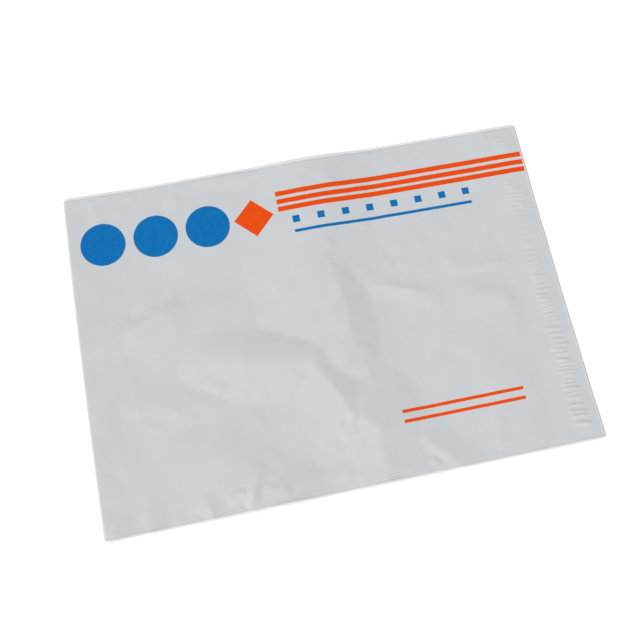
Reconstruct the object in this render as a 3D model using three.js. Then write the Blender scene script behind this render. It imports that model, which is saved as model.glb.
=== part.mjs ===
// A flat, empty poly mailer bag, lying as it comes to rest with its printed face up.
// One web of film is folded across the bottom of the bag and welded along both long sides.
// Its upper layer runs on past the mouth as the flap, with a hot-melt strip and a peel-off liner underneath.
// Millimetres: x runs from the folded bottom to the lip of the flap, y across the bag, z up from the table.

import * as THREE from 'three';

// The bag
const bagLength = 355; // folded bottom to the lip of the flap
const bagWidth = 250; // over both side welds
const flapLength = 45; // how far the upper layer runs on past the mouth
const filmThickness = 0.07;
const weldWidth = 1.5; // fused strip along each long side
const beadHeight = 0.3; // how far the fused edge stands above the film beside it
const foldRadius = 0.6; // what the film springs back to where it turns at the bottom
const cutSlant = 0.3; // a hot knife leaves the mouth's edge slanted

// How the empty bag lies
const slack = 1.3; // air left between the layers near the fold, away from the welds
const slackAtMouth = 0.35;
const slackRun = 60; // the layers take this far to part, in from a weld
const springRun = 45; // the roll of the fold holds the layers apart over this far
const liftRun = 16; // a crease that meets a weld lifts the lower layer over this far
const layerClearance = 0.12; // the layers of the pocket lie no closer than this

// The closure under the flap
const stripWidth = 10;
const stripToLip = 11; // plain film between the strip and the lip
const stripEndMargin = 7;
const stripDepth = 0.25; // hot melt under the hollow of a pleat
const linerWidth = 16;
const linerThickness = 0.08;
const linerEndMargin = 3;
const seatClearance = 0.12; // between film, strip and liner

// The pleats that the strip gathers into the flap
const pleatCount = 48;
const pleatHeight = 1.15; // of the tallest, near the low end of the strip
const faintPleats = 0.4; // share of that height which the pleats reach near the strip's other end
const pleatFade = 3.5; // the pleats die out this far beyond the strip
const pleatUnevenness = 0.3; // share of a pleat by which its place strays

// Spacing of the surface's points
const columnStep = 8.2;
const fineColumnStep = 5.6;
const fineStretch = [-14, 36]; // per cent of the half length, round the main creases
const rowStep = 6.8;

// Folds pressed into the upper layer. Each runs through its points, written as
// [per cent of the half length, per cent of the half width, height in millimetres],
// and its left and right flank, seen along the run, have a reach in millimetres and a kind.
// Where folds overlap the highest one counts.
const folds = [
  { name: 'upright ridge', left: [20, 'facet'], right: [70, 'soft'],
    points: [[2, 44, 1.0], [5, 38, 3.4], [7, 20, 3.9], [8, 0, 4.0], [8, -18, 3.8], [7, -28, 2.4],
      [6, -36, 0]] },
  { name: 'upper upright ridge', left: [38, 'facet'], right: [70, 'soft'],
    points: [[13, 99, 1.8], [11, 86, 3.0], [9, 70, 3.2], [6, 50, 3.3], [6, 36, 3.0], [7, 10, 0]] },
  { name: 'cross ridge', left: [30, 'soft'], right: [28, 'facet'],
    points: [[-54, -14, 0], [-48, -16, 2.6], [-36, -20, 4.0], [-24, -23, 4.4], [-10, -26, 4.4]] },
  { name: 'cross ridge end', left: [27, 'facet'], right: [31, 'facet'],
    points: [[-11, -24, 4.2], [-8, -30, 4.4], [-2, -46, 4.4], [3, -58, 3.6], [7, -68, 2.4], [9, -74, 0.6]] },
  { name: 'lower ridge', left: [33, 'facet'], right: [34, 'facet'],
    points: [[7, -36, 0], [9, -48, 2.8], [10, -60, 3.8], [10, -75, 3.8], [10, -90, 3.2], [10, -99, 2.2]] },
  { name: 'low swell', left: [20, 'facet'], right: [60, 'soft'],
    points: [[-66, -62, 0], [-57, -65, 0.9], [-47, -71, 1.7], [-37, -81, 2.2], [-26, -91, 1.9],
      [-17, -99, 1.0]] },
  { name: 'left ridge', left: [8, 'facet'], right: [34, 'soft'],
    points: [[-85, 10, 0.8], [-76, 14, 2.2], [-66, 19, 2.3], [-55, 21, 1.0], [-38, 19, 0.5], [-26, 20, 0]] },
  { name: 'low left ridge', left: [17, 'soft'], right: [17, 'facet'],
    points: [[-87, -28, 0], [-78, -33, 0.9], [-66, -37, 1.2], [-54, -36, 0.7], [-47, -34, 0]] },
  { name: 'lower right ridge', left: [17, 'facet'], right: [18, 'hollow'],
    points: [[22, -72, 0], [28, -80, 1.6], [35, -91, 2.0], [40, -99, 1.2]] },
  { name: 'upper left swell', left: [6, 'facet'], right: [11, 'facet'],
    points: [[-46, 97, 0.3], [-34, 96, 0.9], [-20, 96, 1.0], [-11, 97, 0.3]] },
];

// Smaller folds and swells on top of these, in the same form, all added
const swells = [
  { name: 'right hollow', left: [50, 'soft'], right: [20, 'soft'],
    points: [[27, 16, 0], [28, -5, -0.5], [29, -40, -0.7], [34, -70, -0.5], [40, -95, 0]] },
  { name: 'right swell', left: [48, 'soft'], right: [66, 'facet'],
    points: [[62, 5, 0], [62, -18, 0.6], [63, -50, 0.9], [63, -80, 0.9], [63, -99, 0.6]] },
  { name: 'left dent', left: [14, 'soft'], right: [14, 'soft'],
    points: [[-74, 38, 0], [-62, 41, -0.6], [-50, 34, 0]] },
  { name: 'fan ridge', left: [13, 'hollow'], right: [11, 'facet'],
    points: [[18, 13, 0], [27, 11, 1.6], [38, 5, 1.5], [50, -3, 0]] },
  { name: 'flap side ridge', left: [11, 'hollow'], right: [6, 'facet'],
    points: [[54, 11, 0], [64, 13, 0.7], [76, 13, 0.8], [90, 10, 0]] },
  { name: 'curved ridge', left: [10, 'facet'], right: [22, 'facet'],
    points: [[52, 3, 0], [62, -2, 0.8], [74, -7, 1.0], [80, -14, 1.0], [82, -28, 0.6], [82, -42, 0]] },
  { name: 'edge facet', left: [7, 'facet'], right: [9, 'facet'],
    points: [[-76, -98, 0], [-66, -92, 1.1], [-58, -93, 1.2], [-50, -89, 1.9], [-43, -92, 1.0],
      [-37, -86, 1.3], [-31, -89, 0]] },
  { name: 'pointed facet', left: [9, 'facet'], right: [12, 'facet'],
    points: [[-12, -80, 0], [-6, -90, 0.9], [-3, -98, 0]] },
];
const crestRadius = 0.8; // a crest is rounded this much
const footRound = 0.12; // share of a facet over which its foot is rounded

const foldX = -bagLength / 2 + foldRadius; // where the layers leave the roll of the fold
const lipX = bagLength / 2;
const mouthX = lipX - flapLength;
const stripEndX = lipX - stripToLip;
const stripStartX = stripEndX - stripWidth;
const sideY = bagWidth / 2;
const seamY = sideY - weldWidth; // the pocket ends here
const flapSeat = linerThickness + stripDepth + 2 * seatClearance; // underside of the flap over the strip

function ramp(share) {
  const s = Math.min(Math.max(share, 0), 1);
  return s * s * (3 - 2 * s);
}

// Share of a crest's height over its flank, at u from 0 on the crest to 1 at the foot
function flank(u, kind) {
  const rest = 1 - u;
  if (kind === 'facet') return (rest * rest * (1 + footRound)) / (rest + footRound);
  if (kind === 'hollow') return rest * rest;
  return (1 - u * u) ** 2;
}

// Height of one crease at a point: that of the nearest point on its run, less with the distance from it
function creaseHeight(crease, x, y) {
  const [leftReach, leftKind] = crease.left;
  const [rightReach, rightKind] = crease.right;
  let height = 0;
  for (let k = 1; k < crease.points.length; k++) {
    const [x0, y0, h0] = crease.points[k - 1];
    const [x1, y1, h1] = crease.points[k];
    const start = new THREE.Vector2(x0 * bagLength, y0 * bagWidth).divideScalar(200);
    const run = new THREE.Vector2(x1 * bagLength, y1 * bagWidth).divideScalar(200).sub(start);
    const place = new THREE.Vector2(x, y).sub(start);
    const along = Math.min(Math.max(place.dot(run) / run.lengthSq(), 0), 1);
    const away = place.clone().addScaledVector(run, -along).length();
    // 1 on the left of the run, -1 on the right
    const side = away > 0 ? run.cross(place) / run.length() / away : 0;
    const onLeft = (1 + side) / 2;
    const reach = leftReach * onLeft + rightReach * (1 - onLeft);
    const u = Math.min((Math.hypot(away, crestRadius) - crestRadius) / reach, 1);
    const fall = flank(u, leftKind) * onLeft + flank(u, rightKind) * (1 - onLeft);
    const here = (h0 + along * (h1 - h0)) * fall;
    if (Math.abs(here) > Math.abs(height)) height = here;
  }
  return height;
}

// All creases together. The flap lies flat where the strip holds it.
function crumple(x, y) {
  const highest = Math.max(...folds.map((fold) => creaseHeight(fold, x, y)));
  const total = swells.reduce((sum, swell) => sum + creaseHeight(swell, x, y), highest);
  const flatFrom = stripStartX - pleatFade;
  return total * (1 - ramp((x - mouthX) / (flatFrom - mouthX)));
}

// Share of a crease that lifts both layers: all of it at a weld, none further in than the lift run
function weldShare(y) {
  return ramp(1 - (seamY - Math.abs(y)) / liftRun);
}

// Underside of the lower layer above the table
function lowerLayer(x, y) {
  return Math.max(crumple(x, y), 0) * weldShare(y);
}

// Air between the layers of the pocket
function layerGap(x, y) {
  const fromWeld = ramp((seamY - Math.abs(y)) / slackRun);
  const fromFold = ramp((x - foldX) / (1.6 * slackRun));
  const toMouth = Math.max((x - foldX) / (mouthX - foldX), 0) ** 1.5;
  const air = (slack + (slackAtMouth - slack) * Math.min(toMouth, 1)) * fromWeld * fromFold;
  const spring = 2 * (foldHalfHeight(y) - filmThickness) * (1 - ramp((x - foldX) / springRun));
  return Math.max(air + spring + crumple(x, y) * (1 - weldShare(y)), layerClearance);
}

// Underside of the upper layer, from the pocket's ceiling to the lip
function upperLayer(x, y) {
  const gap = Math.abs(y) < seamY ? layerGap(x, y) : 0;
  const onFlap = ramp((x - mouthX) / (stripStartX - pleatFade - mouthX));
  return lowerLayer(x, y) + (filmThickness + gap) * (1 - onFlap) + flapSeat * onFlap;
}

// Half the height of the rolled fold, which the welds press flat at its two ends
function foldHalfHeight(y) {
  return filmThickness + foldRadius * ramp((seamY - Math.abs(y)) / slackRun);
}

// A closed skin, made by joining neighbouring lines of points
class Skin {
  positions = [];
  triangles = [];

  // A point and its place along its line
  point(x, y, z, at) {
    this.positions.push(x, y, z);
    return { index: this.positions.length / 3 - 1, at, x };
  }

  // A line of points across the bag, at one x and at each given y
  column(x, ys, height) {
    return ys.map((y) => this.point(x, y, height(x, y), y));
  }

  // Joins two lines by their places along them, however many points each has.
  // Of two equal places the one nearer the fold goes first, so both faces of the film share their diagonals.
  stitch(first, second) {
    const firstLeads = first[0].x <= second[0].x;
    let i = 0;
    let j = 0;
    while (i < first.length - 1 || j < second.length - 1) {
      const a = i < first.length - 1 ? first[i + 1].at : Infinity;
      const b = j < second.length - 1 ? second[j + 1].at : Infinity;
      const stepFirst = a < b || (a === b && firstLeads);
      const third = stepFirst ? first[i + 1] : second[j + 1];
      const corners = [first[i].index, second[j].index, third.index];
      if (new Set(corners).size === 3) this.triangles.push(...corners);
      if (stepFirst) i++;
      else j++;
    }
  }

  stitchAll(lines) {
    for (let k = 1; k < lines.length; k++) this.stitch(lines[k - 1], lines[k]);
  }

  geometry() {
    const geometry = new THREE.BufferGeometry();
    geometry.setAttribute('position', new THREE.Float32BufferAttribute(this.positions, 3));
    geometry.setIndex(this.triangles);
    geometry.computeVertexNormals();
    return geometry;
  }
}

// Even steps from one end of a stretch to the other, both ends included
function stations(from, to, step) {
  const count = Math.max(Math.round((to - from) / step), 1);
  return Array.from({ length: count + 1 }, (_, k) => from + ((to - from) * k) / count);
}

// Places of the columns on the pocket, closer together round the main creases
function pocketColumns() {
  const fineFrom = (fineStretch[0] / 200) * bagLength;
  const fineTo = (fineStretch[1] / 200) * bagLength;
  return [
    ...stations(foldX, fineFrom, columnStep).slice(0, -1),
    ...stations(fineFrom, fineTo, fineColumnStep).slice(0, -1),
    ...stations(fineTo, mouthX, columnStep),
  ];
}

// Rows between the seams. The three nearest each seam follow the lift of the welds.
const liftRows = [seamY - liftRun, seamY - liftRun * 0.6, seamY - liftRun * 0.28];
const middleRows = stations(-liftRows[0], liftRows[0], rowStep);
const innerRows = [
  ...liftRows.map((y) => -y).reverse(),
  ...middleRows.slice(1, -1),
  ...liftRows,
];
const innerLowerRows = [...liftRows.map((y) => -y).reverse(), 0, ...liftRows];

// Crests and hollows of the pleats by turns, unevenly spaced along the strip
function pleatEdge(_, k) {
  const halfPleat = (bagWidth / 2 - stripEndMargin) / pleatCount;
  const stray = k === 0 || k === 2 * pleatCount ? 0 : Math.sin(2.3 * k) * Math.cos(0.7 * k);
  const y = (k - pleatCount + stray * pleatUnevenness) * halfPleat;
  const strength = faintPleats + (1 - faintPleats) * ramp((0.25 - y / sideY) / 0.9);
  const uneven = 0.7 + 0.3 * Math.sin(1.7 * k);
  return { y, height: (k % 2) * pleatHeight * strength * uneven };
}
const pleatEdges = Array.from({ length: 2 * pleatCount + 1 }, pleatEdge);
const pleatAt = new Map(pleatEdges.map(({ y, height }) => [y, height]));
const pleatRows = pleatEdges.map(({ y }) => y);

const withSeams = (rows) => [-seamY, ...rows, seamY];
const withSides = (rows) => [-sideY, ...withSeams(rows), sideY];
const beadY = sideY - weldWidth / 2;
const withBeads = (rows) => [-sideY, -beadY, ...withSeams(rows), beadY, sideY];

// Faces of the upper layer: the pleats lie only in the two columns at the strip's edges
const flapUnderside = (x, y) => upperLayer(x, y) + (pleatAt.get(y) ?? 0);
function printedFace(x, y) {
  const bead = Math.abs(y) === beadY ? beadHeight : 0;
  const underside = Math.abs(y) < seamY ? flapUnderside(x, y) : upperLayer(x, Math.sign(y) * seamY);
  return underside + filmThickness + bead;
}

function filmBag() {
  const skin = new Skin();
  const pocketXs = pocketColumns();
  const plainFlapXs = stations(mouthX, stripStartX - pleatFade, columnStep).slice(1);
  const lipXs = stations(stripEndX + pleatFade, lipX, columnStep);
  const flapXs = [
    ...plainFlapXs.map((x) => ({ x, rows: innerRows })),
    { x: stripStartX, rows: pleatRows },
    { x: stripEndX, rows: pleatRows },
    ...lipXs.map((x) => ({ x, rows: innerRows })),
  ];

  // Printed face of the upper layer, from the fold to the lip
  const foldTop = skin.column(foldX, withBeads(innerRows), (x, y) => {
    return lowerLayer(x, y) + 2 * foldHalfHeight(y) + (Math.abs(y) === beadY ? beadHeight : 0);
  });
  const printed = [
    foldTop,
    ...pocketXs.slice(1).map((x) => skin.column(x, withBeads(innerRows), printedFace)),
    ...flapXs.map(({ x, rows }) => skin.column(x, withBeads(rows), printedFace)),
  ];

  // Underside of the flap, from the lip back to the mouth
  const undersideLines = flapXs.map(({ x, rows }) => skin.column(x, withSides(rows), flapUnderside));
  const mouthTop = skin.column(mouthX, withSides(innerRows), upperLayer);

  // Pocket: its ceiling and floor share the points of the two seams and of the inner fold
  const seams = pocketXs.slice(0, -1).map((x) => {
    return [-seamY, seamY].map((y) => skin.point(x, y, lowerLayer(x, y) + filmThickness, y));
  });
  seams.push([mouthTop[1], mouthTop[mouthTop.length - 2]]);
  const pocketLine = (k, rows, height) => {
    const inner = skin.column(pocketXs[k], rows, height);
    return [seams[k][0], ...inner, seams[k][1]];
  };
  const innerFold = pocketLine(0, innerRows, (x, y) => lowerLayer(x, y) + foldHalfHeight(y));
  const between = pocketXs.map((_, k) => k).slice(1, -1);
  const ceiling = between.map((k) => pocketLine(k, innerRows, upperLayer));
  const floorFace = (x, y) => lowerLayer(x, y) + filmThickness;
  const floor = [...between, pocketXs.length - 1].map((k) => pocketLine(k, innerLowerRows, floorFace));

  // Outside of the lower layer, and the roll of the fold
  const lowerXs = [...pocketXs.slice(0, -1), mouthX - cutSlant];
  const outside = lowerXs.map((x) => skin.column(x, withSides(innerLowerRows), lowerLayer));
  const roll = [0.25, 0.5, 0.75].map((turn) => {
    return withSides(innerLowerRows).map((y) => {
      const half = foldHalfHeight(y);
      const x = foldX - foldRadius * Math.sin(turn * Math.PI);
      return skin.point(x, y, lowerLayer(foldX, y) + half * (1 - Math.cos(turn * Math.PI)), y);
    });
  });

  // Once round the section: over the printed face, under the flap, through the pocket and back below
  const mouthInner = mouthTop.slice(1, -1);
  const floorAtMouth = floor[floor.length - 1];
  const mouthEdge = [mouthTop[0], ...floorAtMouth, mouthTop[mouthTop.length - 1]];
  skin.stitchAll([...printed, ...[...undersideLines].reverse(), mouthTop]);
  skin.stitchAll([mouthInner, ...[...ceiling].reverse(), innerFold, ...floor]);
  skin.stitchAll([mouthEdge, ...[...outside].reverse(), ...roll, foldTop]);

  // The two cut and welded sides
  const sideLine = (lines, end) => lines.map((line) => ({ ...line.at(end), at: line.at(end).x }));
  const foldMiddle = roll[1];
  for (const end of [0, -1]) {
    const above = sideLine([foldMiddle, roll[2], ...printed], end);
    const below = sideLine([foldMiddle, roll[0], ...outside, mouthTop, ...undersideLines], end);
    if (end === 0) skin.stitch(above, below);
    else skin.stitch(below, above);
  }
  return skin.geometry();
}

// Hot melt, pressed up into the pleats and flat where the liner lies on it
function adhesiveStrip() {
  const skin = new Skin();
  const bottom = linerThickness + seatClearance;
  const ends = [pleatRows[0], pleatRows[pleatRows.length - 1]];
  const topFace = (x, y) => flapUnderside(x, y) - seatClearance;
  const topLines = [stripStartX, stripEndX].map((x) => skin.column(x, pleatRows, topFace));
  const bottomLines = [stripEndX, stripStartX].map((x) => skin.column(x, ends, () => bottom));
  skin.stitchAll([...topLines, ...bottomLines, topLines[0]]);
  const [startTop, endTop] = topLines;
  const [endBottom, startBottom] = bottomLines;
  skin.triangles.push(startTop[0].index, startBottom[0].index, endBottom[0].index);
  skin.triangles.push(startTop[0].index, endBottom[0].index, endTop[0].index);
  skin.triangles.push(startTop.at(-1).index, endBottom[1].index, startBottom[1].index);
  skin.triangles.push(startTop.at(-1).index, endTop.at(-1).index, endBottom[1].index);
  return skin.geometry();
}

function releaseLiner() {
  const geometry = new THREE.BoxGeometry(linerWidth, bagWidth - 2 * linerEndMargin, linerThickness);
  geometry.translate((stripStartX + stripEndX) / 2, 0, linerThickness / 2);
  return geometry;
}

function piece(name, geometry, material) {
  const mesh = new THREE.Mesh(geometry, material);
  mesh.name = name;
  return mesh;
}

const film = new THREE.MeshStandardMaterial({ color: 0xcccfd2, roughness: 0.42, metalness: 0 });
const hotMelt = new THREE.MeshStandardMaterial({ color: 0xdcd8c8, roughness: 0.3, metalness: 0 });
const liner = new THREE.MeshStandardMaterial({ color: 0xf2f2ee, roughness: 0.5, metalness: 0 });

const mailer = new THREE.Group();
mailer.add(piece('film_bag', filmBag(), film));
mailer.add(piece('adhesive_strip', adhesiveStrip(), hotMelt));
mailer.add(piece('release_liner', releaseLiner(), liner));

export default mailer;
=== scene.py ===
"""A flat, empty poly mailer bag of pale grey film, printed in orange and blue, seen from above.

Lengths in the shape functions are millimetres in the bag's own frame: x from the folded bottom to the
lip of the flap, y across the bag, z up from the table. They become metres when a mesh is made.
"""
import math

import bpy
import numpy as np
from mathutils import Matrix, Vector


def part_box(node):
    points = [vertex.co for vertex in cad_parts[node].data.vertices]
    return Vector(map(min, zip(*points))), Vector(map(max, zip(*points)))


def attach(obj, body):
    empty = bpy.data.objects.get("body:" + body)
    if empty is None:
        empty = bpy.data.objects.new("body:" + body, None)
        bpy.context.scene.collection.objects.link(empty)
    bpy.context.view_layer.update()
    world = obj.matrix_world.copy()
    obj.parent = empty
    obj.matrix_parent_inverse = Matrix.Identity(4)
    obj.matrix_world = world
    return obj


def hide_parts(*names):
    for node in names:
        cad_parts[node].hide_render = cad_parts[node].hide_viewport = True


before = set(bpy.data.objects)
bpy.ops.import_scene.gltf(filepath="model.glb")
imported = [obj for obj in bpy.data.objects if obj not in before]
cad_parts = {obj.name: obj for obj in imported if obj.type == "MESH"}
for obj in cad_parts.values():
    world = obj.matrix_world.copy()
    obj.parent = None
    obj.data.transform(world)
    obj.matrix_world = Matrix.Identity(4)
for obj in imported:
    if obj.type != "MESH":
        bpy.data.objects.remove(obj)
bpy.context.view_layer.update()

MM = 0.001

# Sizes taken from the frame
FILM_LOW, FILM_HIGH = (np.array(corner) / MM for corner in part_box("film_bag"))
STRIP_LOW, STRIP_HIGH = (np.array(corner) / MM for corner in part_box("adhesive_strip"))
LINER_LOW, LINER_HIGH = (np.array(corner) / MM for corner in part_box("release_liner"))
LENGTH = FILM_HIGH[0] - FILM_LOW[0]
WIDTH = FILM_HIGH[1] - FILM_LOW[1]

# The film and the way it lies, from sizes that its box doesn't tell
FILM = 0.07
FLAP = 45
FOLD_RADIUS = 0.6
SPRING_RUN = 45  # the roll of the fold holds the layers apart over this far
SLACK = 1.3  # air between the layers near the fold
SLACK_AT_MOUTH = 0.35
SLACK_RUN = 60  # the layers take this far to part, in from a weld
LIFT_RUN = 16  # a crease at a weld lifts the lower layer over this far
LAYER_CLEARANCE = 0.12
SEAT_CLEARANCE = 0.12  # between film, strip and liner
STRIP_DEPTH = 0.25  # adhesive under the hollow of a pleat

# The outline
LIP_BOW = 1.0
FOLD_BOW = 0.9
FAR_SIDE_DIP = 0.8
DIP_X = -115
DIP_RUN = 30
CORNER = 2.6
CORNER_PULL = 0.3  # share by which a blunt corner's points move in
LIP_DROOP = 0.3
LIP_WAVE = 0.11
SHORT_LIP_WAVE = 0.05

# The welds
WELD = 1.5
BEAD = 0.3
BEAD_WIDTH = 1.2
BEAD_PEAK = 0.4  # share of the bead's width at which it is highest
PUCKER = 0.06
PUCKER_RUN = 12

# The pleats that the strip gathers into the flap
PLEATS = 64
PLEAT_HEIGHT = 1.15
FAINT_PLEATS = 0.4  # share of that height near the strip's far end
PLEAT_SHIFT = 1.2  # from the strip's middle towards the lip
PLEAT_MARGIN = 3  # from the strip's ends
PLEAT_FADE = 3.5  # beyond the strip, to where the flap is flat

LIP_X = LENGTH / 2
MOUTH_X = LIP_X - FLAP
FOLD_X = -LENGTH / 2 + FOLD_RADIUS
SIDE_Y = WIDTH / 2
SEAM_Y = SIDE_Y - WELD
FLAP_SEAT = LINER_HIGH[2] + STRIP_DEPTH + 2 * SEAT_CLEARANCE

# Spacing of the film's points
ROW_STEP = 1.75
EDGE_ROW_STEP = 0.4
COLUMN_STEP = 1.75
FINE_COLUMN_STEP = 1.25
FINE_COLUMNS_TO = -42
LOWER_COLUMN_STEP = 14
FINE_ROW_STEP = 1.0
FINE_ROWS_TO = -100
PLEAT_ROW_STEP = 0.62

# Folds pressed into the upper layer: reach and kind of the left and the right flank, seen along the run,
# then points (per cent of the half length, per cent of the half width, height). The highest one counts.
FOLDS = [
    ("upright ridge", 20, "facet", 70, "soft",
     [(2, 44, 1.0), (5, 38, 3.4), (7, 20, 3.9), (8, 0, 4.0), (8, -18, 3.8), (7, -28, 2.4), (6, -36, 0)]),
    ("upper upright ridge", 38, "facet", 70, "soft",
     [(13, 99, 1.8), (11, 86, 3.0), (9, 70, 3.2), (6, 50, 3.3), (6, 36, 3.0), (7, 10, 0)]),
    ("cross ridge", 30, "soft", 28, "facet",
     [(-54, -14, 0), (-48, -16, 2.6), (-36, -20, 4.0), (-24, -23, 4.4), (-10, -26, 4.4)]),
    ("cross ridge end", 27, "facet", 31, "facet",
     [(-11, -24, 4.2), (-8, -30, 4.4), (-2, -46, 4.4), (2, -60, 4.0)]),
    ("lower ridge", 44, "facet", 34, "facet",
     [(-2, -46, 1.8), (2, -60, 3.4), (5.5, -62.5, 3.9), (8.5, -66, 3.9), (10.3, -70, 3.8), (10.3, -80, 3.2),
      (10.3, -99, 2.5)]),
    ("low swell", 20, "facet", 60, "soft",
     [(-66, -62, 0), (-57, -65, 0.9), (-47, -71, 1.7), (-37, -81, 2.2), (-26, -91, 1.9), (-17, -99, 1.0)]),
    ("left ridge", 8, "facet", 34, "soft",
     [(-85, 10, 0.8), (-76, 14, 2.2), (-66, 19, 2.3), (-55, 21, 1.0), (-38, 19, 0.5), (-26, 20, 0)]),
    ("low left ridge", 17, "soft", 17, "facet",
     [(-87, -28, 0), (-78, -33, 0.9), (-66, -37, 1.2), (-54, -36, 0.7), (-47, -34, 0)]),
    ("lower right ridge", 17, "facet", 18, "hollow",
     [(22, -72, 0), (28, -80, 1.6), (35, -91, 2.0), (40, -99, 1.2)]),
    ("second pointed facet", 8, "facet", 9, "facet",
     [(25, -88, 0), (30, -93, 1.6), (33, -98, 0.8)]),
    ("upper left swell", 6, "facet", 11, "facet",
     [(-46, 97, 0.3), (-34, 96, 0.9), (-20, 96, 1.0), (-11, 97, 0.3)]),
]
# Swells, dents and small folds on top of these, in the same form, all added
SWELLS = [
    ("right hollow", 50, "soft", 20, "soft",
     [(27, 16, 0), (28, -5, -0.5), (29, -40, -0.7), (34, -70, -0.5), (40, -95, 0)]),
    ("right swell", 48, "soft", 66, "facet",
     [(62, 5, 0), (62, -18, 0.6), (63, -50, 0.9), (63, -80, 0.9), (63, -99, 0.6)]),
    ("left dent", 14, "soft", 14, "soft",
     [(-74, 38, 0), (-62, 41, -0.6), (-50, 34, 0)]),
    ("low left pinch", 6, "facet", 11, "hollow",
     [(-82, -40, 0), (-76, -45, 0.6), (-70, -50, 0)]),
    ("fan ridge", 13, "hollow", 11, "facet",
     [(18, 13, 0), (27, 11, 1.6), (38, 5, 1.5), (50, -3, 0)]),
    ("flap side ridge", 11, "hollow", 6, "facet",
     [(54, 11, 0), (64, 13, 0.7), (76, 13, 0.8), (90, 10, 0)]),
    ("curved ridge", 10, "facet", 22, "facet",
     [(52, 3, 0), (62, -2, 0.8), (74, -7, 1.0), (80, -14, 1.0), (82, -28, 0.6), (82, -42, 0)]),
    ("far corner fold", 4, "facet", 5, "facet",
     [(86, 97, 0), (91, 93, 0.7), (96, 90, 0)]),
    ("first dimple", 3.4, "facet", 6, "soft",
     [(-4, -64, 0), (-1.8, -61, -0.6), (0.4, -60, 0)]),
    ("second dimple", 3.4, "facet", 6, "soft",
     [(1.4, -69, 0), (3.4, -66, -0.6), (6.2, -66, 0)]),
    ("pointed facet", 9, "facet", 12, "facet",
     [(-12, -80, 0), (-6, -90, 0.9), (-3, -98, 0)]),
]
# Crisp facets along the near edge, in the same form. The highest one counts, and is added to the rest.
EDGE_FACETS = [
    ("first curl", 4, "facet", 3, "facet",
     [(-69, -99.6, 0), (-63, -99.6, 0.6), (-51, -99.6, 0.6), (-45, -99.6, 0)]),
    ("round facet", 9, "facet", 11, "facet",
     [(-63, -88.8, 0.3), (-59.7, -92, 1.0), (-58.6, -95.2, 1.3), (-58, -98.4, 1.2)]),
    ("small pale facet", 3, "facet", 6, "facet",
     [(-50, -89.6, 0.7), (-46, -89, 0.8), (-43, -89.6, 0)]),
    ("leaning facet", 6, "facet", 7, "facet",
     [(-43.4, -96, 1.0), (-41.7, -90.4, 1.5), (-39.4, -85.2, 0.7)]),
    ("pale facet", 4, "facet", 10, "facet",
     [(-38.3, -88.8, 0.5), (-33.8, -89.6, 0.9), (-30.4, -91.2, 0.8), (-30, -94.4, 0)]),
    ("second curl", 6, "facet", 3, "facet",
     [(-36, -99.6, 0.2), (-26, -99.6, 0.9), (-16, -99.6, 0)]),
    ("corner facet", 13, "facet", 5, "facet",
     [(-90, -88.8, 0), (-94.1, -93.6, 0.8), (-96.3, -98.4, 0.9)]),
    ("second corner facet", 16, "soft", 7, "facet",
     [(-84.5, -83.2, 0), (-82.8, -90.4, 0.8), (-82.3, -99.2, 0.9)]),
    ("far edge facet", 9, "facet", 4, "facet",
     [(22, -99.5, 0.4), (27, -98, 1.1), (31, -98.5, 0.4)]),
]
SMALL_CREASES = 90
CREST_ROUND = 0.6  # radius to which a crest is rounded
FOOT_ROUND = 0.12  # share of a facet over which its foot is rounded


def ramp(share):
    """Smooth step from 0 to 1."""
    s = np.clip(share, 0, 1)
    return s * s * (3 - 2 * s)


def flank(u, kind):
    """Height over a flank as a share of its crest's, at u from crest 0 to foot 1.

    A facet falls straight and has a rounded foot, a hollow falls as (1 - u) squared, and a soft flank as
    (1 - u squared) squared."""
    rest = 1 - u
    if kind == "facet":
        return rest * rest * (1 + FOOT_ROUND) / (rest + FOOT_ROUND)
    if kind == "hollow":
        return rest * rest
    return (1 - u * u) ** 2


def crease_height(x, y, left, left_kind, right, right_kind, points):
    """Height of the nearest point on the crease's run, times a flank that falls with the distance from it.

    Reach and kind change from those of the left flank to those of the right by the side of the run on
    which a point lies."""
    height = np.zeros_like(x)
    for (x0, y0, h0), (x1, y1, h1) in zip(points[:-1], points[1:]):
        start = np.array([x0 * LENGTH, y0 * WIDTH]) / 200
        run = np.array([x1 * LENGTH, y1 * WIDTH]) / 200 - start
        px, py = x - start[0], y - start[1]
        along = np.clip((px * run[0] + py * run[1]) / (run @ run), 0, 1)
        away = np.hypot(px - along * run[0], py - along * run[1])
        across = (run[0] * py - run[1] * px) / np.sqrt(run @ run)
        on_left = (1 + np.clip(across / np.maximum(away, 1e-6), -1, 1)) / 2
        reach = left * on_left + right * (1 - on_left)
        u = np.clip((np.hypot(away, CREST_ROUND) - CREST_ROUND) / reach, 0, 1)
        fall = flank(u, left_kind) * on_left + flank(u, right_kind) * (1 - on_left)
        here = (h0 + along * (h1 - h0)) * fall
        height = np.where(np.abs(here) > np.abs(height), here, height)
    return height


def bowed(points):
    """Points moved a little in the plane. The lip bows in as a parabola and the fold bows out as one, both
    dying out with the fourth power of the way to the middle. The far side has a bell-shaped dip, and a
    corner's points move in by a share of how far they lie beyond a slanting cut."""
    x, y, z = np.moveaxis(points, -1, 0)
    to_lip = np.clip(x / LIP_X, 0, 1) ** 4
    to_fold = np.clip(-x / LIP_X, 0, 1) ** 4
    across = np.clip(np.abs(y) / SIDE_Y, 0, 1)
    dip = FAR_SIDE_DIP * np.exp(-((x - DIP_X) / DIP_RUN) ** 2) * ramp(y / SIDE_Y)
    moved_x = x - LIP_BOW * (1 - across ** 2) * to_lip + FOLD_BOW * across ** 2 * to_fold
    into_corner = np.clip(CORNER - (LIP_X - np.abs(x)) - (SIDE_Y - np.abs(y)), 0, CORNER) * CORNER_PULL
    moved_x = moved_x - np.sign(x) * into_corner
    moved_y = y - dip - np.sign(y) * into_corner
    return np.stack([moved_x, moved_y, z], axis=-1)


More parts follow.
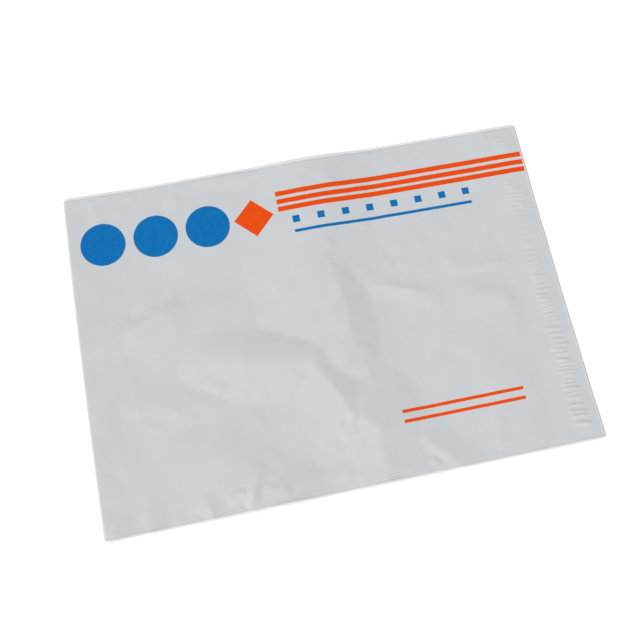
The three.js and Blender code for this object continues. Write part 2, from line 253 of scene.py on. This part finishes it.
def small_creases():
    """Faint short creases all over the film, from a fixed seed: each runs up from nothing to a bent middle
    and down again, mostly along the diagonal that leans to the near side."""
    rng = np.random.default_rng(31)
    creases = []
    for _ in range(SMALL_CREASES):
        x, y = rng.uniform(-95, 80), rng.uniform(-94, 94)
        turn = rng.normal(-0.5, 0.7)
        half = rng.uniform(3, 8)
        height = rng.uniform(0.2, 0.5) * rng.choice([1, 1, -1])
        bend = rng.normal(0, 2)
        dx, dy = half * np.cos(turn), half * np.sin(turn) * LENGTH / WIDTH
        points = [(x - dx, y - dy, 0), (x + bend * 0.3, y + bend, height), (x + dx, y + dy, 0)]
        creases.append((rng.uniform(4, 9), "facet", rng.uniform(5, 14), "hollow", points))
    return creases


def crumple(x, y):
    """Height that the creases add: the highest fold, all swells, the highest edge facet and all small
    creases, times a step that dies out towards the strip, which holds the flap flat."""
    folds = np.max([crease_height(x, y, *fold[1:]) for fold in FOLDS], axis=0)
    swells = sum(crease_height(x, y, *swell[1:]) for swell in SWELLS)
    facets = np.max([crease_height(x, y, *facet[1:]) for facet in EDGE_FACETS], axis=0)
    fine = sum(crease_height(x, y, *crease) for crease in small_creases())
    flat_from = STRIP_LOW[0] - PLEAT_FADE
    return (folds + swells + facets + fine) * (1 - ramp((x - MOUTH_X) / (flat_from - MOUTH_X)))


def weld_share(y):
    """Share of a crease that lifts both layers: all of it at a weld, none further in than the lift run."""
    return ramp(1 - (SEAM_Y - np.abs(y)) / LIFT_RUN)


def lower_layer(x, y):
    """Underside of the lower layer: flat on the table, and lifted by a crease only near a weld."""
    return np.maximum(crumple(x, y), 0) * weld_share(y)


def upper_layer(x, y):
    """Underside of the upper layer. Over the pocket it is the lift at the welds, the lower film and a gap.
    The gap is the slack, which grows smoothly from the seams and from the fold, with the fold's roll, which
    dies out over the spring run, and the crease's height. Past the mouth it goes over to the flap's seat."""
    bumps = crumple(x, y)
    lift = np.maximum(bumps, 0) * weld_share(y)
    to_mouth = np.clip((x - FOLD_X) / (MOUTH_X - FOLD_X), 0, 1)
    slack = SLACK + (SLACK_AT_MOUTH - SLACK) * to_mouth ** 1.5
    air = slack * ramp((SEAM_Y - np.abs(y)) / SLACK_RUN) * ramp((x - FOLD_X) / (1.6 * SLACK_RUN))
    air = air + 2 * (fold_half_height(y) - FILM) * (1 - ramp((x - FOLD_X) / SPRING_RUN))
    gap = np.maximum(air + bumps * (1 - weld_share(y)), LAYER_CLEARANCE)
    gap = gap * ramp((SEAM_Y - np.abs(y)) / 2)
    on_flap = ramp((x - MOUTH_X) / (STRIP_LOW[0] - PLEAT_FADE - MOUTH_X))
    return lift + (FILM + gap) * (1 - on_flap) + FLAP_SEAT * on_flap


def fold_half_height(y):
    """Half the height of the rolled fold, which the welds press flat at its ends."""
    return FILM + FOLD_RADIUS * ramp((SEAM_Y - np.abs(y)) / SLACK_RUN)


def stations(start, end, step):
    """Even steps from start to end, both included."""
    return np.linspace(start, end, max(round(abs(end - start) / step), 1) + 1)


def edge_rows(step):
    """Rows across the bag, closer together at both edges, where the welds have a bead."""
    edge = stations(0, 2 * BEAD_WIDTH, EDGE_ROW_STEP)[:-1]
    near = stations(-SIDE_Y + 2 * BEAD_WIDTH, FINE_ROWS_TO, min(step, FINE_ROW_STEP))[:-1]
    rest = stations(FINE_ROWS_TO, SIDE_Y - 2 * BEAD_WIDTH, step)
    return np.concatenate([-SIDE_Y + edge, near, rest, (SIDE_Y - edge)[::-1]])


def front_columns():
    """Places of the lines of points over the printed face, from the strip's near side to the fold."""
    plain = stations(STRIP_LOW[0] - PLEAT_FADE, FINE_COLUMNS_TO, COLUMN_STEP)
    fine = stations(FINE_COLUMNS_TO, FOLD_X, FINE_COLUMN_STEP)
    return np.concatenate([plain, fine[1:]])


def side_bead(y):
    """Height of the bead that the hot wire leaves along a weld's cut edge: the square root of a triangle
    over the distance from the edge."""
    share = (SIDE_Y - np.abs(y)) / BEAD_WIDTH
    return BEAD * np.clip(1 - np.abs(share - BEAD_PEAK), 0, 1) ** 0.5


def pucker(x, y):
    """Small waves that the shrunken weld draws along the edge: three sines of unlike lengths, which begin
    at the seam and die out over the pucker's run."""
    wave = np.sin(x / 2.9 + 2 * np.sin(x / 23)) + 0.6 * np.sin(x / 1.7 + 1) + 0.8 * np.sin(x / 7.3)
    from_seam = SEAM_Y - np.abs(y)
    return PUCKER * (wave + 1.2) * ramp(from_seam / 2) * ramp(1 - from_seam / PUCKER_RUN)


def web_grid():
    """The film's middle surface as lines of points across the bag, from the strip's near side over the
    printed face, round the fold and back below to the mouth. Both faces lie half a film above their
    layer's underside, and the fold is half an ellipse between them. Each row of the grid is one line."""
    rows = edge_rows(ROW_STEP)
    upper_xs = front_columns()
    lower_xs = stations(FOLD_X, MOUTH_X, LOWER_COLUMN_STEP)
    x, y = np.meshgrid(upper_xs, rows, indexing="ij")
    upper = np.stack([x, y, upper_layer(x, y) + side_bead(y) + pucker(x, y) + FILM / 2], axis=2)
    x, y = np.meshgrid(lower_xs, rows, indexing="ij")
    lower = np.stack([x, y, lower_layer(x, y) + FILM / 2], axis=2)
    turn = np.linspace(0, np.pi, 8)[1:-1]
    t, y = np.meshgrid(turn, rows, indexing="ij")
    half = fold_half_height(y) - FILM / 2
    base = lower_layer(FOLD_X, y) + FILM / 2
    roll = np.stack([FOLD_X - FOLD_RADIUS * np.sin(t), y, base + half * (1 + np.cos(t))], axis=2)
    upper[-1, :, 2] = lower[0, :, 2] + 2 * half[0]
    return np.concatenate([upper, roll, lower])


def pleats():
    """Place, half length, half width, slant and height of each pleat, from a fixed seed. The steps between
    them are uneven, and their heights grow smoothly from the strip's far end to its near one."""
    rng = np.random.default_rng(8)
    middle = (STRIP_LOW[0] + STRIP_HIGH[0]) / 2
    steps = rng.uniform(0.55, 1.45, PLEATS)
    first, last = STRIP_LOW[1] + PLEAT_MARGIN, STRIP_HIGH[1] - PLEAT_MARGIN
    ys = first + np.cumsum(steps) / steps.sum() * (last - first)
    xs = middle + PLEAT_SHIFT + rng.normal(0, 0.7, PLEATS)
    half_lengths = rng.uniform(4.4, 6.6, PLEATS)
    half_widths = rng.uniform(1.0, 2.3, PLEATS)
    slants = rng.normal(-0.05, 0.08, PLEATS)
    strength = FAINT_PLEATS + (1 - FAINT_PLEATS) * ramp((0.25 - ys / SIDE_Y) / 0.9)
    heights = PLEAT_HEIGHT * strength * rng.uniform(0.35, 1, PLEATS)
    return zip(xs, ys, half_lengths, half_widths, slants, heights)


def pleat_height(x, y):
    """Height of the highest pleat at each point. A pleat is full over most of its length and falls at its
    ends with a fifth power; across, it falls from its crest a little steeper than a straight slope."""
    height = np.zeros_like(x)
    for px, py, half_length, half_width, slant, high in pleats():
        along = np.clip(1 - np.abs((x - px) / half_length) ** 5, 0, 1)
        across = np.clip(1 - np.abs((y - py - slant * (x - px)) / half_width), 0, 1)
        height = np.maximum(height, high * along * across ** 1.3)
    return height


def flap_end_grid():
    """The flap's end, over the strip and out to the lip, with rows close enough for the pleats: the upper
    layer with pleats, bead and lip wave, half a film above its underside."""
    rows = edge_rows(PLEAT_ROW_STEP)
    xs = stations(STRIP_LOW[0] - PLEAT_FADE, LIP_X, COLUMN_STEP)[1:]
    x, y = np.meshgrid(xs, rows, indexing="ij")
    z = upper_layer(x, y) + pleat_height(x, y) + side_bead(y) + lip_wave(x, y) + FILM / 2
    return np.stack([x, y, z], axis=2)


def lip_wave(x, y):
    """A droop of the free lip towards the table, with two sines as a slight wave along it."""
    rise = LIP_WAVE * np.sin(y / 11) + SHORT_LIP_WAVE * np.sin(y / 4.3 + 1) - LIP_DROOP
    return rise * ramp((x - STRIP_HIGH[0] - 1) / (LIP_X - STRIP_HIGH[0] - 2))


def grid_quads(lines, points, offset=0):
    """Quads of a grid whose lines each hold the same number of points."""
    i, j = np.meshgrid(np.arange(lines - 1), np.arange(points - 1), indexing="ij")
    a = (offset + i * points + j).ravel()
    return np.stack([a, a + points, a + points + 1, a + 1], axis=1)


def joining_triangles(first, second, first_at, second_at):
    """Triangles between two lines of points with different numbers of points, by their places along them."""
    steps = np.concatenate([first_at[1:], second_at[1:]])
    order = np.argsort(steps, kind="stable")
    of_first = order < len(first_at) - 1
    i = np.concatenate([[0], np.cumsum(of_first)])
    j = np.concatenate([[0], np.cumsum(~of_first)])
    third = np.where(of_first, first[i[1:]], second[j[1:]])
    return np.stack([first[i[:-1]], second[j[:-1]], third], axis=1)


def mesh_piece(name, points, faces, smooth=True):
    """An object at the origin from points in millimetres."""
    mesh = bpy.data.meshes.new(name)
    mesh.from_pydata((points * MM).tolist(), [], faces)
    mesh.validate()
    mesh.update()
    if smooth:
        mesh.polygons.foreach_set("use_smooth", np.ones(len(mesh.polygons), dtype=bool))
    piece = bpy.data.objects.new(name, mesh)
    bpy.context.scene.collection.objects.link(piece)
    return piece


def film_web():
    """The whole web of film as one sheet, given its thickness by Solidify. Each point keeps its place on
    the flat film, and whether it lies on the printed face, as attributes for the print."""
    web = web_grid()
    flap = flap_end_grid()
    web_lines, web_points = web.shape[:2]
    flap_lines, flap_points = flap.shape[:2]
    points = np.concatenate([web.reshape(-1, 3), flap.reshape(-1, 3)])
    offset = web_lines * web_points
    web_edge = np.arange(web_points)
    flap_edge = offset + np.arange(flap_points)
    joint = joining_triangles(web_edge, flap_edge, web[0, :, 1], flap[0, :, 1])
    web_faces = grid_quads(web_lines, web_points)[:, ::-1]
    faces = web_faces.tolist() + grid_quads(flap_lines, flap_points, offset).tolist() + joint.tolist()
    piece = mesh_piece("film_web", bowed(points), faces)
    printed = np.ones(len(points))
    printed[len(front_columns()) * web_points:offset] = 0
    piece.data.attributes.new("printed", "FLOAT", "POINT").data.foreach_set("value", printed)
    flat = piece.data.attributes.new("flat", "FLOAT_VECTOR", "POINT")
    flat.data.foreach_set("vector", (points * MM).ravel())
    solidify = piece.modifiers.new("film thickness", "SOLIDIFY")
    solidify.thickness = FILM * MM
    solidify.offset = 0
    solidify.material_offset = 1
    return piece


def new_material(name, color, roughness):
    """A material with a plain colour and roughness, and its tree of nodes."""
    material = bpy.data.materials.new(name)
    material.use_nodes = True
    material.diffuse_color = (*color, 1)
    shader = material.node_tree.nodes["Principled BSDF"]
    shader.inputs["Base Color"].default_value = (*color, 1)
    shader.inputs["Roughness"].default_value = roughness
    return material, material.node_tree, shader


def feed(tree, socket, value):
    """Set a socket to a number, or link it to another node's output."""
    if isinstance(value, bpy.types.NodeSocket):
        tree.links.new(value, socket)
    else:
        socket.default_value = value


def sum_up(tree, operation, *values):
    """Output of a Math node with the given operation on the values."""
    node = tree.nodes.new("ShaderNodeMath")
    node.operation = operation
    for socket, value in zip(node.inputs, values):
        feed(tree, socket, value)
    return node.outputs[0]


def attribute(tree, name, output):
    """Output of an Attribute node."""
    node = tree.nodes.new("ShaderNodeAttribute")
    node.attribute_name = name
    return node.outputs[output]


def flat_place(tree):
    """x and y on the flat film, before its outline bows."""
    parts = tree.nodes.new("ShaderNodeSeparateXYZ")
    tree.links.new(attribute(tree, "flat", "Vector"), parts.inputs[0])
    return parts.outputs[0], parts.outputs[1]


def noise(tree, place, scale, detail=2.0, stretch=(1, 1, 1)):
    """Noise from 0 to 1 over a place in metres; scale is in features to a metre."""
    mapping = tree.nodes.new("ShaderNodeMapping")
    mapping.inputs["Scale"].default_value = stretch
    tree.links.new(place, mapping.inputs["Vector"])
    node = tree.nodes.new("ShaderNodeTexNoise")
    node.inputs["Scale"].default_value = scale
    node.inputs["Detail"].default_value = detail
    tree.links.new(mapping.outputs[0], node.inputs["Vector"])
    return node.outputs[0]


def blend(tree, share, first, second):
    """Colour between two colours or colour sockets."""
    node = tree.nodes.new("ShaderNodeMix")
    node.data_type = "RGBA"
    feed(tree, node.inputs[0], share)
    feed(tree, node.inputs[6], first)
    feed(tree, node.inputs[7], second)
    return node.outputs[2]


def add_bump(tree, shader, height, distance):
    """Bump by a height from 0 to 1, as deep as the distance in metres."""
    node = tree.nodes.new("ShaderNodeBump")
    node.inputs["Strength"].default_value = 1
    node.inputs["Distance"].default_value = distance
    tree.links.new(height, node.inputs["Height"])
    tree.links.new(node.outputs[0], shader.inputs["Normal"])


def inside(tree, distance, half):
    """1 where a distance from a shape's centre is under its half size, 0 outside, with a soft edge."""
    over = sum_up(tree, "SUBTRACT", half * MM, distance)
    share = sum_up(tree, "DIVIDE", over, INK_EDGE * MM)
    node = tree.nodes.new("ShaderNodeClamp")
    tree.links.new(sum_up(tree, "ADD", share, 0.5), node.inputs[0])
    return node.outputs[0]


def away_from(tree, value, centre):
    """Distance along one axis from a centre in millimetres."""
    return sum_up(tree, "ABSOLUTE", sum_up(tree, "SUBTRACT", value, centre * MM))


def both(tree, first, second):
    """The product of two masks."""
    return sum_up(tree, "MULTIPLY", first, second)


def any_of(tree, masks):
    """The highest of several masks."""
    total = masks[0]
    for mask in masks[1:]:
        total = sum_up(tree, "MAXIMUM", total, mask)
    return total


def bar(tree, x, y, x_from, x_to, y_centre, width):
    """Mask of a bar along x."""
    along = inside(tree, away_from(tree, x, (x_from + x_to) / 2), (x_to - x_from) / 2)
    return both(tree, along, inside(tree, away_from(tree, y, y_centre), width / 2))


def disc(tree, x, y, x_centre, y_centre, radius):
    """Mask of a disc."""
    dx = away_from(tree, x, x_centre)
    dy = away_from(tree, y, y_centre)
    squares = sum_up(tree, "ADD", both(tree, dx, dx), both(tree, dy, dy))
    return inside(tree, sum_up(tree, "SQRT", squares), radius)


def diamond(tree, x, y, x_centre, y_centre, half):
    """Mask of a square on its corner."""
    corner_way = sum_up(tree, "ADD", away_from(tree, x, x_centre), away_from(tree, y, y_centre))
    return inside(tree, corner_way, half)


def squares_in_row(tree, x, y, first_x, pitch, count, y_centre, size):
    """Mask of a row of small squares."""
    from_start = sum_up(tree, "SUBTRACT", x, (first_x - pitch / 2) * MM)
    share = sum_up(tree, "FRACT", sum_up(tree, "DIVIDE", from_start, pitch * MM))
    from_middle = sum_up(tree, "ABSOLUTE", sum_up(tree, "SUBTRACT", share, 0.5))
    across = inside(tree, sum_up(tree, "MULTIPLY", from_middle, pitch * MM), size / 2)
    row = bar(tree, x, y, first_x - pitch / 2, first_x + (count - 0.5) * pitch, y_centre, size)
    return both(tree, across, row)


# Print on the outside of the film: plain generic shapes in two inks
ORANGE = (0.75, 0.057, 0.0, 1)
ORANGE_THIN = (0.86, 0.088, 0.0, 1)
BLUE = (0.0, 0.12, 0.36, 1)
BLUE_THIN = (0.0, 0.195, 0.54, 1)
INK_EDGE = 0.25
RAGGED_EDGE = 0.4
STRIPES_Y = (99.6, 93.1, 87.0)
STRIPE_WIDTH = 4.0
STRIPES_FROM = -20
DISCS_X = (-152, -113, -74)
DISC_RADIUS = 16.5
MOTIF_Y = 84
DIAMOND_X = -39
DIAMOND_HALF = 15
SQUARES_X = -8
SQUARES_PITCH = 19
SQUARES_COUNT = 8
SQUARES_Y = 77
SQUARE_SIZE = 5.5
RULE_Y = 67.5
RULE_WIDTH = 2.4
LOW_RULES_X = (38, 128)
LOW_RULES_Y = (-79, -86)


def print_masks(tree, x, y):
    """Masks of the orange and of the blue ink."""
    stripes = [bar(tree, x, y, STRIPES_FROM, LIP_X + 5, centre, STRIPE_WIDTH) for centre in STRIPES_Y]
    rules = [bar(tree, x, y, *LOW_RULES_X, centre, RULE_WIDTH) for centre in LOW_RULES_Y]
    orange = any_of(tree, stripes + rules + [diamond(tree, x, y, DIAMOND_X, MOTIF_Y, DIAMOND_HALF)])
    discs = [disc(tree, x, y, centre, MOTIF_Y, DISC_RADIUS) for centre in DISCS_X]
    squares = squares_in_row(tree, x, y, SQUARES_X, SQUARES_PITCH, SQUARES_COUNT, SQUARES_Y, SQUARE_SIZE)
    rule_end = SQUARES_X + (SQUARES_COUNT - 1) * SQUARES_PITCH + SQUARE_SIZE / 2
    rule = bar(tree, x, y, SQUARES_X - SQUARE_SIZE / 2, rule_end, RULE_Y, RULE_WIDTH)
    return orange, any_of(tree, discs + [squares, rule])


# Finishes: film, adhesive and liner
FILM_COLOR = (0.601, 0.621, 0.642)
# painted shade: the warmer grey is also a little darker, for the light that falls off towards the fold's near
# corner
WARM_SHADED_FILM_COLOR = (0.598, 0.608, 0.618)
MOTTLE = 0.045
FILM_ROUGHNESS = 0.42
INK_ROUGHNESS = 0.32
FILM_SPECULAR = 0.15
WRINKLE_DEPTH = 0.12
# painted shade: a darker line in the pressed groove beside each weld's bead
GROOVE_SHADE_COLOR = (0.5, 0.5, 0.5, 1)
GROOVE_FROM_SEAM = 0.8
GROOVE_WIDTH = 0.9
# painted highlight along the welds' cut edges, the lip and the rolled fold, with the widths of its bands at
# the sides and the lip
EDGE_HIGHLIGHT_COLOR = (0.82, 0.81, 0.79, 1)
SIDE_HIGHLIGHT_WIDTH = 1.2
LIP_HIGHLIGHT_WIDTH = 1.3
HOT_MELT_COLOR = (0.72, 0.68, 0.56)
HOT_MELT_ROUGHNESS = 0.18
LINER_COLOR = (0.88, 0.88, 0.85)
LINER_ROUGHNESS = 0.34


def toned(color, tone):
    """A colour made darker or paler by one factor."""
    return tuple(part * tone for part in color) + (1,)


def warm_shade_share(tree):
    """Share of the warmer grey, which is also a little darker as painted shade for the light's falloff: it
    rises evenly over the film, from none at the lip to all at the near corner of the fold."""
    x, y = flat_place(tree)
    along = sum_up(tree, "DIVIDE", x, -1.1 * LENGTH * MM)
    across = sum_up(tree, "DIVIDE", y, -1.7 * WIDTH * MM)
    share = sum_up(tree, "ADD", sum_up(tree, "ADD", along, across), 0.25)
    return sum_up(tree, "MINIMUM", sum_up(tree, "MAXIMUM", share, 0), 1)


def film_tone(tree, place):
    """Colour of the bare film: two tones of the grey, from its cool kind to a warm one that is a little
    darker as painted shade, mixed by a cloudy mottle and fine die lines along the film."""
    mottle = sum_up(tree, "MULTIPLY", noise(tree, place, 55, 4), 0.75)
    die_lines = sum_up(tree, "MULTIPLY", noise(tree, place, 900, 1, (0.02, 1, 1)), 0.25)
    warmth_and_shade = warm_shade_share(tree)
    darker, paler = (blend(tree, warmth_and_shade, toned(FILM_COLOR, tone), toned(WARM_SHADED_FILM_COLOR, tone))
                     for tone in (1 - MOTTLE, 1 + MOTTLE))
    return blend(tree, sum_up(tree, "ADD", mottle, die_lines), darker, paler)


def film_and_print(tree, place, shader, color):
    """The film's colour with both inks over it, their edges a little ragged and their tone uneven. Ink is a
    little smoother than film."""
    flat_x, flat_y = flat_place(tree)
    stray = sum_up(tree, "SUBTRACT", noise(tree, place, 700, 2), 0.5)
    ragged = sum_up(tree, "MULTIPLY", stray, RAGGED_EDGE * MM)
    x = sum_up(tree, "ADD", flat_x, ragged)
    y = sum_up(tree, "ADD", flat_y, ragged)
    face = attribute(tree, "printed", "Fac")
    density = noise(tree, place, 420, 3)
    orange, blue = (both(tree, mask, face) for mask in print_masks(tree, x, y))
    color = blend(tree, orange, color, blend(tree, density, ORANGE_THIN, ORANGE))
    color = blend(tree, blue, color, blend(tree, density, BLUE_THIN, BLUE))
    smoother = sum_up(tree, "MULTIPLY", sum_up(tree, "MAXIMUM", orange, blue), FILM_ROUGHNESS - INK_ROUGHNESS)
    tree.links.new(sum_up(tree, "SUBTRACT", FILM_ROUGHNESS, smoother), shader.inputs["Roughness"])
    return color


def film_material(name, printed):
    """Pale grey film, printed or bare, with fine wrinkles, a line of painted shade at the welds and painted
    highlights along the edges.
    """
    material, tree, shader = new_material(name, FILM_COLOR, FILM_ROUGHNESS)
    place = tree.nodes.new("ShaderNodeTexCoord").outputs["Object"]
    color = film_tone(tree, place)
    if printed:
        color = film_and_print(tree, place, shader, color)
    # painted shade in the pressed line beside the welds
    color = blend(tree, weld_groove_shade(tree, place), color, GROOVE_SHADE_COLOR)
    # painted highlight along the cut edges, the lip and the fold
    color = blend(tree, painted_edge_highlight(tree, place), color, EDGE_HIGHLIGHT_COLOR)
    tree.links.new(color, shader.inputs["Base Color"])
    shader.inputs["Specular IOR Level"].default_value = FILM_SPECULAR
    wrinkles = noise(tree, place, 130, 3, (1, 0.6, 1))
    add_bump(tree, shader, wrinkles, WRINKLE_DEPTH * MM)
    return material


def weld_groove_shade(tree, place):
    """Share of painted shade in the thin pressed line beside each weld's bead, in patches where a noise is
    high."""
    from_middle = sum_up(tree, "ABSOLUTE", flat_place(tree)[1])
    line = inside(tree, away_from(tree, from_middle, SEAM_Y - GROOVE_FROM_SEAM), GROOVE_WIDTH / 2)
    patches = sum_up(tree, "SUBTRACT", sum_up(tree, "MULTIPLY", noise(tree, place, 60, 2), 6), 2.5)
    kept = sum_up(tree, "MINIMUM", sum_up(tree, "MAXIMUM", patches, 0), 1)
    return both(tree, line, sum_up(tree, "MULTIPLY", kept, 0.5))


def painted_edge_highlight(tree, place):
    """Share of painted highlight that makes the film paler: along the welds' cut edges, the lip and the
    rolled fold.
    """
    x, y = flat_place(tree)
    stray = sum_up(tree, "MULTIPLY", noise(tree, place, 300, 2), 0.5 * MM)
    sides = sum_up(tree, "SUBTRACT", 1, inside(tree, sum_up(tree, "ABSOLUTE", y), SIDE_Y - SIDE_HIGHLIGHT_WIDTH))
    lip = sum_up(tree, "SUBTRACT", 1, inside(tree, sum_up(tree, "ADD", x, stray), LIP_X - LIP_HIGHLIGHT_WIDTH))
    fold = inside(tree, away_from(tree, x, -LIP_X), LIP_HIGHLIGHT_WIDTH)
    strong = sum_up(tree, "MULTIPLY", sum_up(tree, "MAXIMUM", sides, lip), 0.9)
    return sum_up(tree, "MAXIMUM", strong, sum_up(tree, "MULTIPLY", fold, 0.4))


def hot_melt_material():
    """Straw-coloured pressure-sensitive adhesive, glossy and a little streaky along the strip."""
    material, tree, shader = new_material("hot melt", HOT_MELT_COLOR, HOT_MELT_ROUGHNESS)
    place = tree.nodes.new("ShaderNodeTexCoord").outputs["Object"]
    streaks = noise(tree, place, 600, 3, (1, 0.08, 1))
    color = blend(tree, streaks, toned(HOT_MELT_COLOR, 0.88), toned(HOT_MELT_COLOR, 1.1))
    tree.links.new(color, shader.inputs["Base Color"])
    add_bump(tree, shader, streaks, 0.05 * MM)
    return material


def liner_material():
    """White siliconised film, satin, with faint long clouds in it."""
    material, tree, shader = new_material("release film", LINER_COLOR, LINER_ROUGHNESS)
    place = tree.nodes.new("ShaderNodeTexCoord").outputs["Object"]
    clouds = noise(tree, place, 900, 4, (1, 0.25, 1))
    color = blend(tree, clouds, toned(LINER_COLOR, 0.96), toned(LINER_COLOR, 1.03))
    tree.links.new(color, shader.inputs["Base Color"])
    add_bump(tree, shader, clouds, 0.03 * MM)
    return material


def slab(name, x, y, bottom, top):
    """A closed sheet between two heights over a grid of x and y, with a wall round its rim."""
    lines, points = x.shape
    count = lines * points
    corners = np.concatenate([np.stack([x, y, bottom], axis=2).reshape(-1, 3),
                              np.stack([x, y, top], axis=2).reshape(-1, 3)])
    ids = np.arange(count).reshape(lines, points)
    rim = np.concatenate([ids[:, 0], ids[-1, 1:], ids[-2::-1, -1], ids[0, -2::-1]])
    sides = np.stack([rim[:-1], rim[1:], rim[1:] + count, rim[:-1] + count], axis=1)
    underside = grid_quads(lines, points)[:, ::-1]
    topside = grid_quads(lines, points, count)
    return mesh_piece(name, corners, np.concatenate([underside, topside, sides]).tolist())


def hot_melt_strip():
    """The bead of adhesive under the flap: flat where it meets the liner, and a seat's clearance below the
    flap's underside, so that it is pressed into the pleats."""
    xs = stations(STRIP_LOW[0], STRIP_HIGH[0], 1)
    ys = stations(STRIP_LOW[1], STRIP_HIGH[1], PLEAT_ROW_STEP)
    x, y = np.meshgrid(xs, ys, indexing="ij")
    bottom = np.full_like(x, STRIP_LOW[2])
    top = upper_layer(x, y) + pleat_height(x, y) + lip_wave(x, y) - SEAT_CLEARANCE
    return slab("hot_melt_strip", x, y, bottom, top)


def release_liner():
    """The film strip that covers the adhesive, an even sheet with a very slight cockle, one sine across
    another."""
    xs = stations(LINER_LOW[0], LINER_HIGH[0], 2)
    ys = stations(LINER_LOW[1], LINER_HIGH[1], 2)
    x, y = np.meshgrid(xs, ys, indexing="ij")
    cockle = 0.03 * (1 + np.sin(y / 8.3 + np.sin(x / 5)))
    bottom = np.full_like(x, LINER_LOW[2]) + cockle
    return slab("liner_film", x, y, bottom, bottom + (LINER_HIGH[2] - LINER_LOW[2]))


# Camera, as in the photograph: nearly overhead and turned a little
CAMERA_AIM = Vector((-0.0057, -0.0023, 0))
CAMERA_PLACE = Vector((-0.0461, -0.1084, 0.4639))
CAMERA_RIGHT = Vector((0.9793, -0.1984, 0.0398))
FOCAL_PIXELS = 655.4
PICTURE_PIXELS = 640
SENSOR_WIDTH = 36

# Light and floor
KEY_DIRECTION = (-4.6, -2.9, 4.3)
KEY_STRENGTH = 1.9
KEY_SOFT_ANGLE = 21.4
WORLD_STRENGTH = 0.633
FLOOR_HALF = 2000
FLOOR_COLOR = (0.9, 0.9, 0.9)
FLOOR_GLOW = 0.16


def add_camera():
    """Camera at its place, looking at the aim, its right side along the given direction."""
    back = (CAMERA_PLACE - CAMERA_AIM).normalized()
    right = (CAMERA_RIGHT - back * CAMERA_RIGHT.dot(back)).normalized()
    up = back.cross(right)
    data = bpy.data.cameras.new("camera")
    data.sensor_width = SENSOR_WIDTH
    data.lens = SENSOR_WIDTH * FOCAL_PIXELS / PICTURE_PIXELS
    data.clip_start = 0.01
    camera = bpy.data.objects.new("camera", data)
    turn = Matrix((right, up, back)).transposed().to_4x4()
    camera.matrix_world = Matrix.Translation(CAMERA_PLACE) @ turn
    bpy.context.scene.collection.objects.link(camera)
    bpy.context.scene.camera = camera


def add_key_light(direction, strength, soft_angle):
    """A far soft light from the given direction: the same over the whole bag, with soft shadows."""
    data = bpy.data.lights.new("soft key", "SUN")
    data.energy = strength
    data.angle = math.radians(soft_angle)
    lamp = bpy.data.objects.new("soft key", data)
    lamp.rotation_euler = Vector(direction).to_track_quat("Z", "Y").to_euler()
    bpy.context.scene.collection.objects.link(lamp)


def seen(tree):
    """1 for a ray that shows a surface: from the camera, in a reflection or through a clear body."""
    path = tree.nodes.new("ShaderNodeLightPath").outputs
    direct = sum_up(tree, "MAXIMUM", path["Is Camera Ray"], path["Is Glossy Ray"])
    return sum_up(tree, "MAXIMUM", direct, path["Is Transmission Ray"])


def add_floor():
    """A pale floor, seen as white wherever no shadow falls on it."""
    corners = np.array([(-1, -1, 0), (1, -1, 0), (1, 1, 0), (-1, 1, 0)]) * FLOOR_HALF
    floor = mesh_piece("floor", corners, [(0, 1, 2, 3)], smooth=False)
    material, tree, shader = new_material("floor white", FLOOR_COLOR, 0.9)
    shader.inputs["Emission Color"].default_value = (1, 1, 1, 1)
    tree.links.new(sum_up(tree, "MULTIPLY", seen(tree), FLOOR_GLOW), shader.inputs["Emission Strength"])
    floor.data.materials.append(material)


def set_world(strength):
    """A white surrounding that lights the bag with the given strength and is seen as plain white."""
    world = bpy.data.worlds.new("studio")
    world.use_nodes = True
    background = world.node_tree.nodes["Background"]
    background.inputs["Color"].default_value = (1, 1, 1, 1)
    tree = world.node_tree
    path = tree.nodes.new("ShaderNodeLightPath").outputs
    tree.links.new(sum_up(tree, "MAXIMUM", path["Is Camera Ray"], strength), background.inputs["Strength"])
    bpy.context.scene.world = world


bpy.context.scene.view_settings.view_transform = "Standard"
add_camera()
add_floor()
set_world(WORLD_STRENGTH)
add_key_light(KEY_DIRECTION, KEY_STRENGTH, KEY_SOFT_ANGLE)

film = film_web()
film.data.materials.append(film_material("printed film", printed=True))
film.data.materials.append(film_material("bare film", printed=False))
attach(film, "root")
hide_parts("film_bag")

strip = hot_melt_strip()
strip.data.materials.append(hot_melt_material())
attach(strip, "root")
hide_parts("adhesive_strip")

liner = release_liner()
liner.data.materials.append(liner_material())
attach(liner, "root")
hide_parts("release_liner")
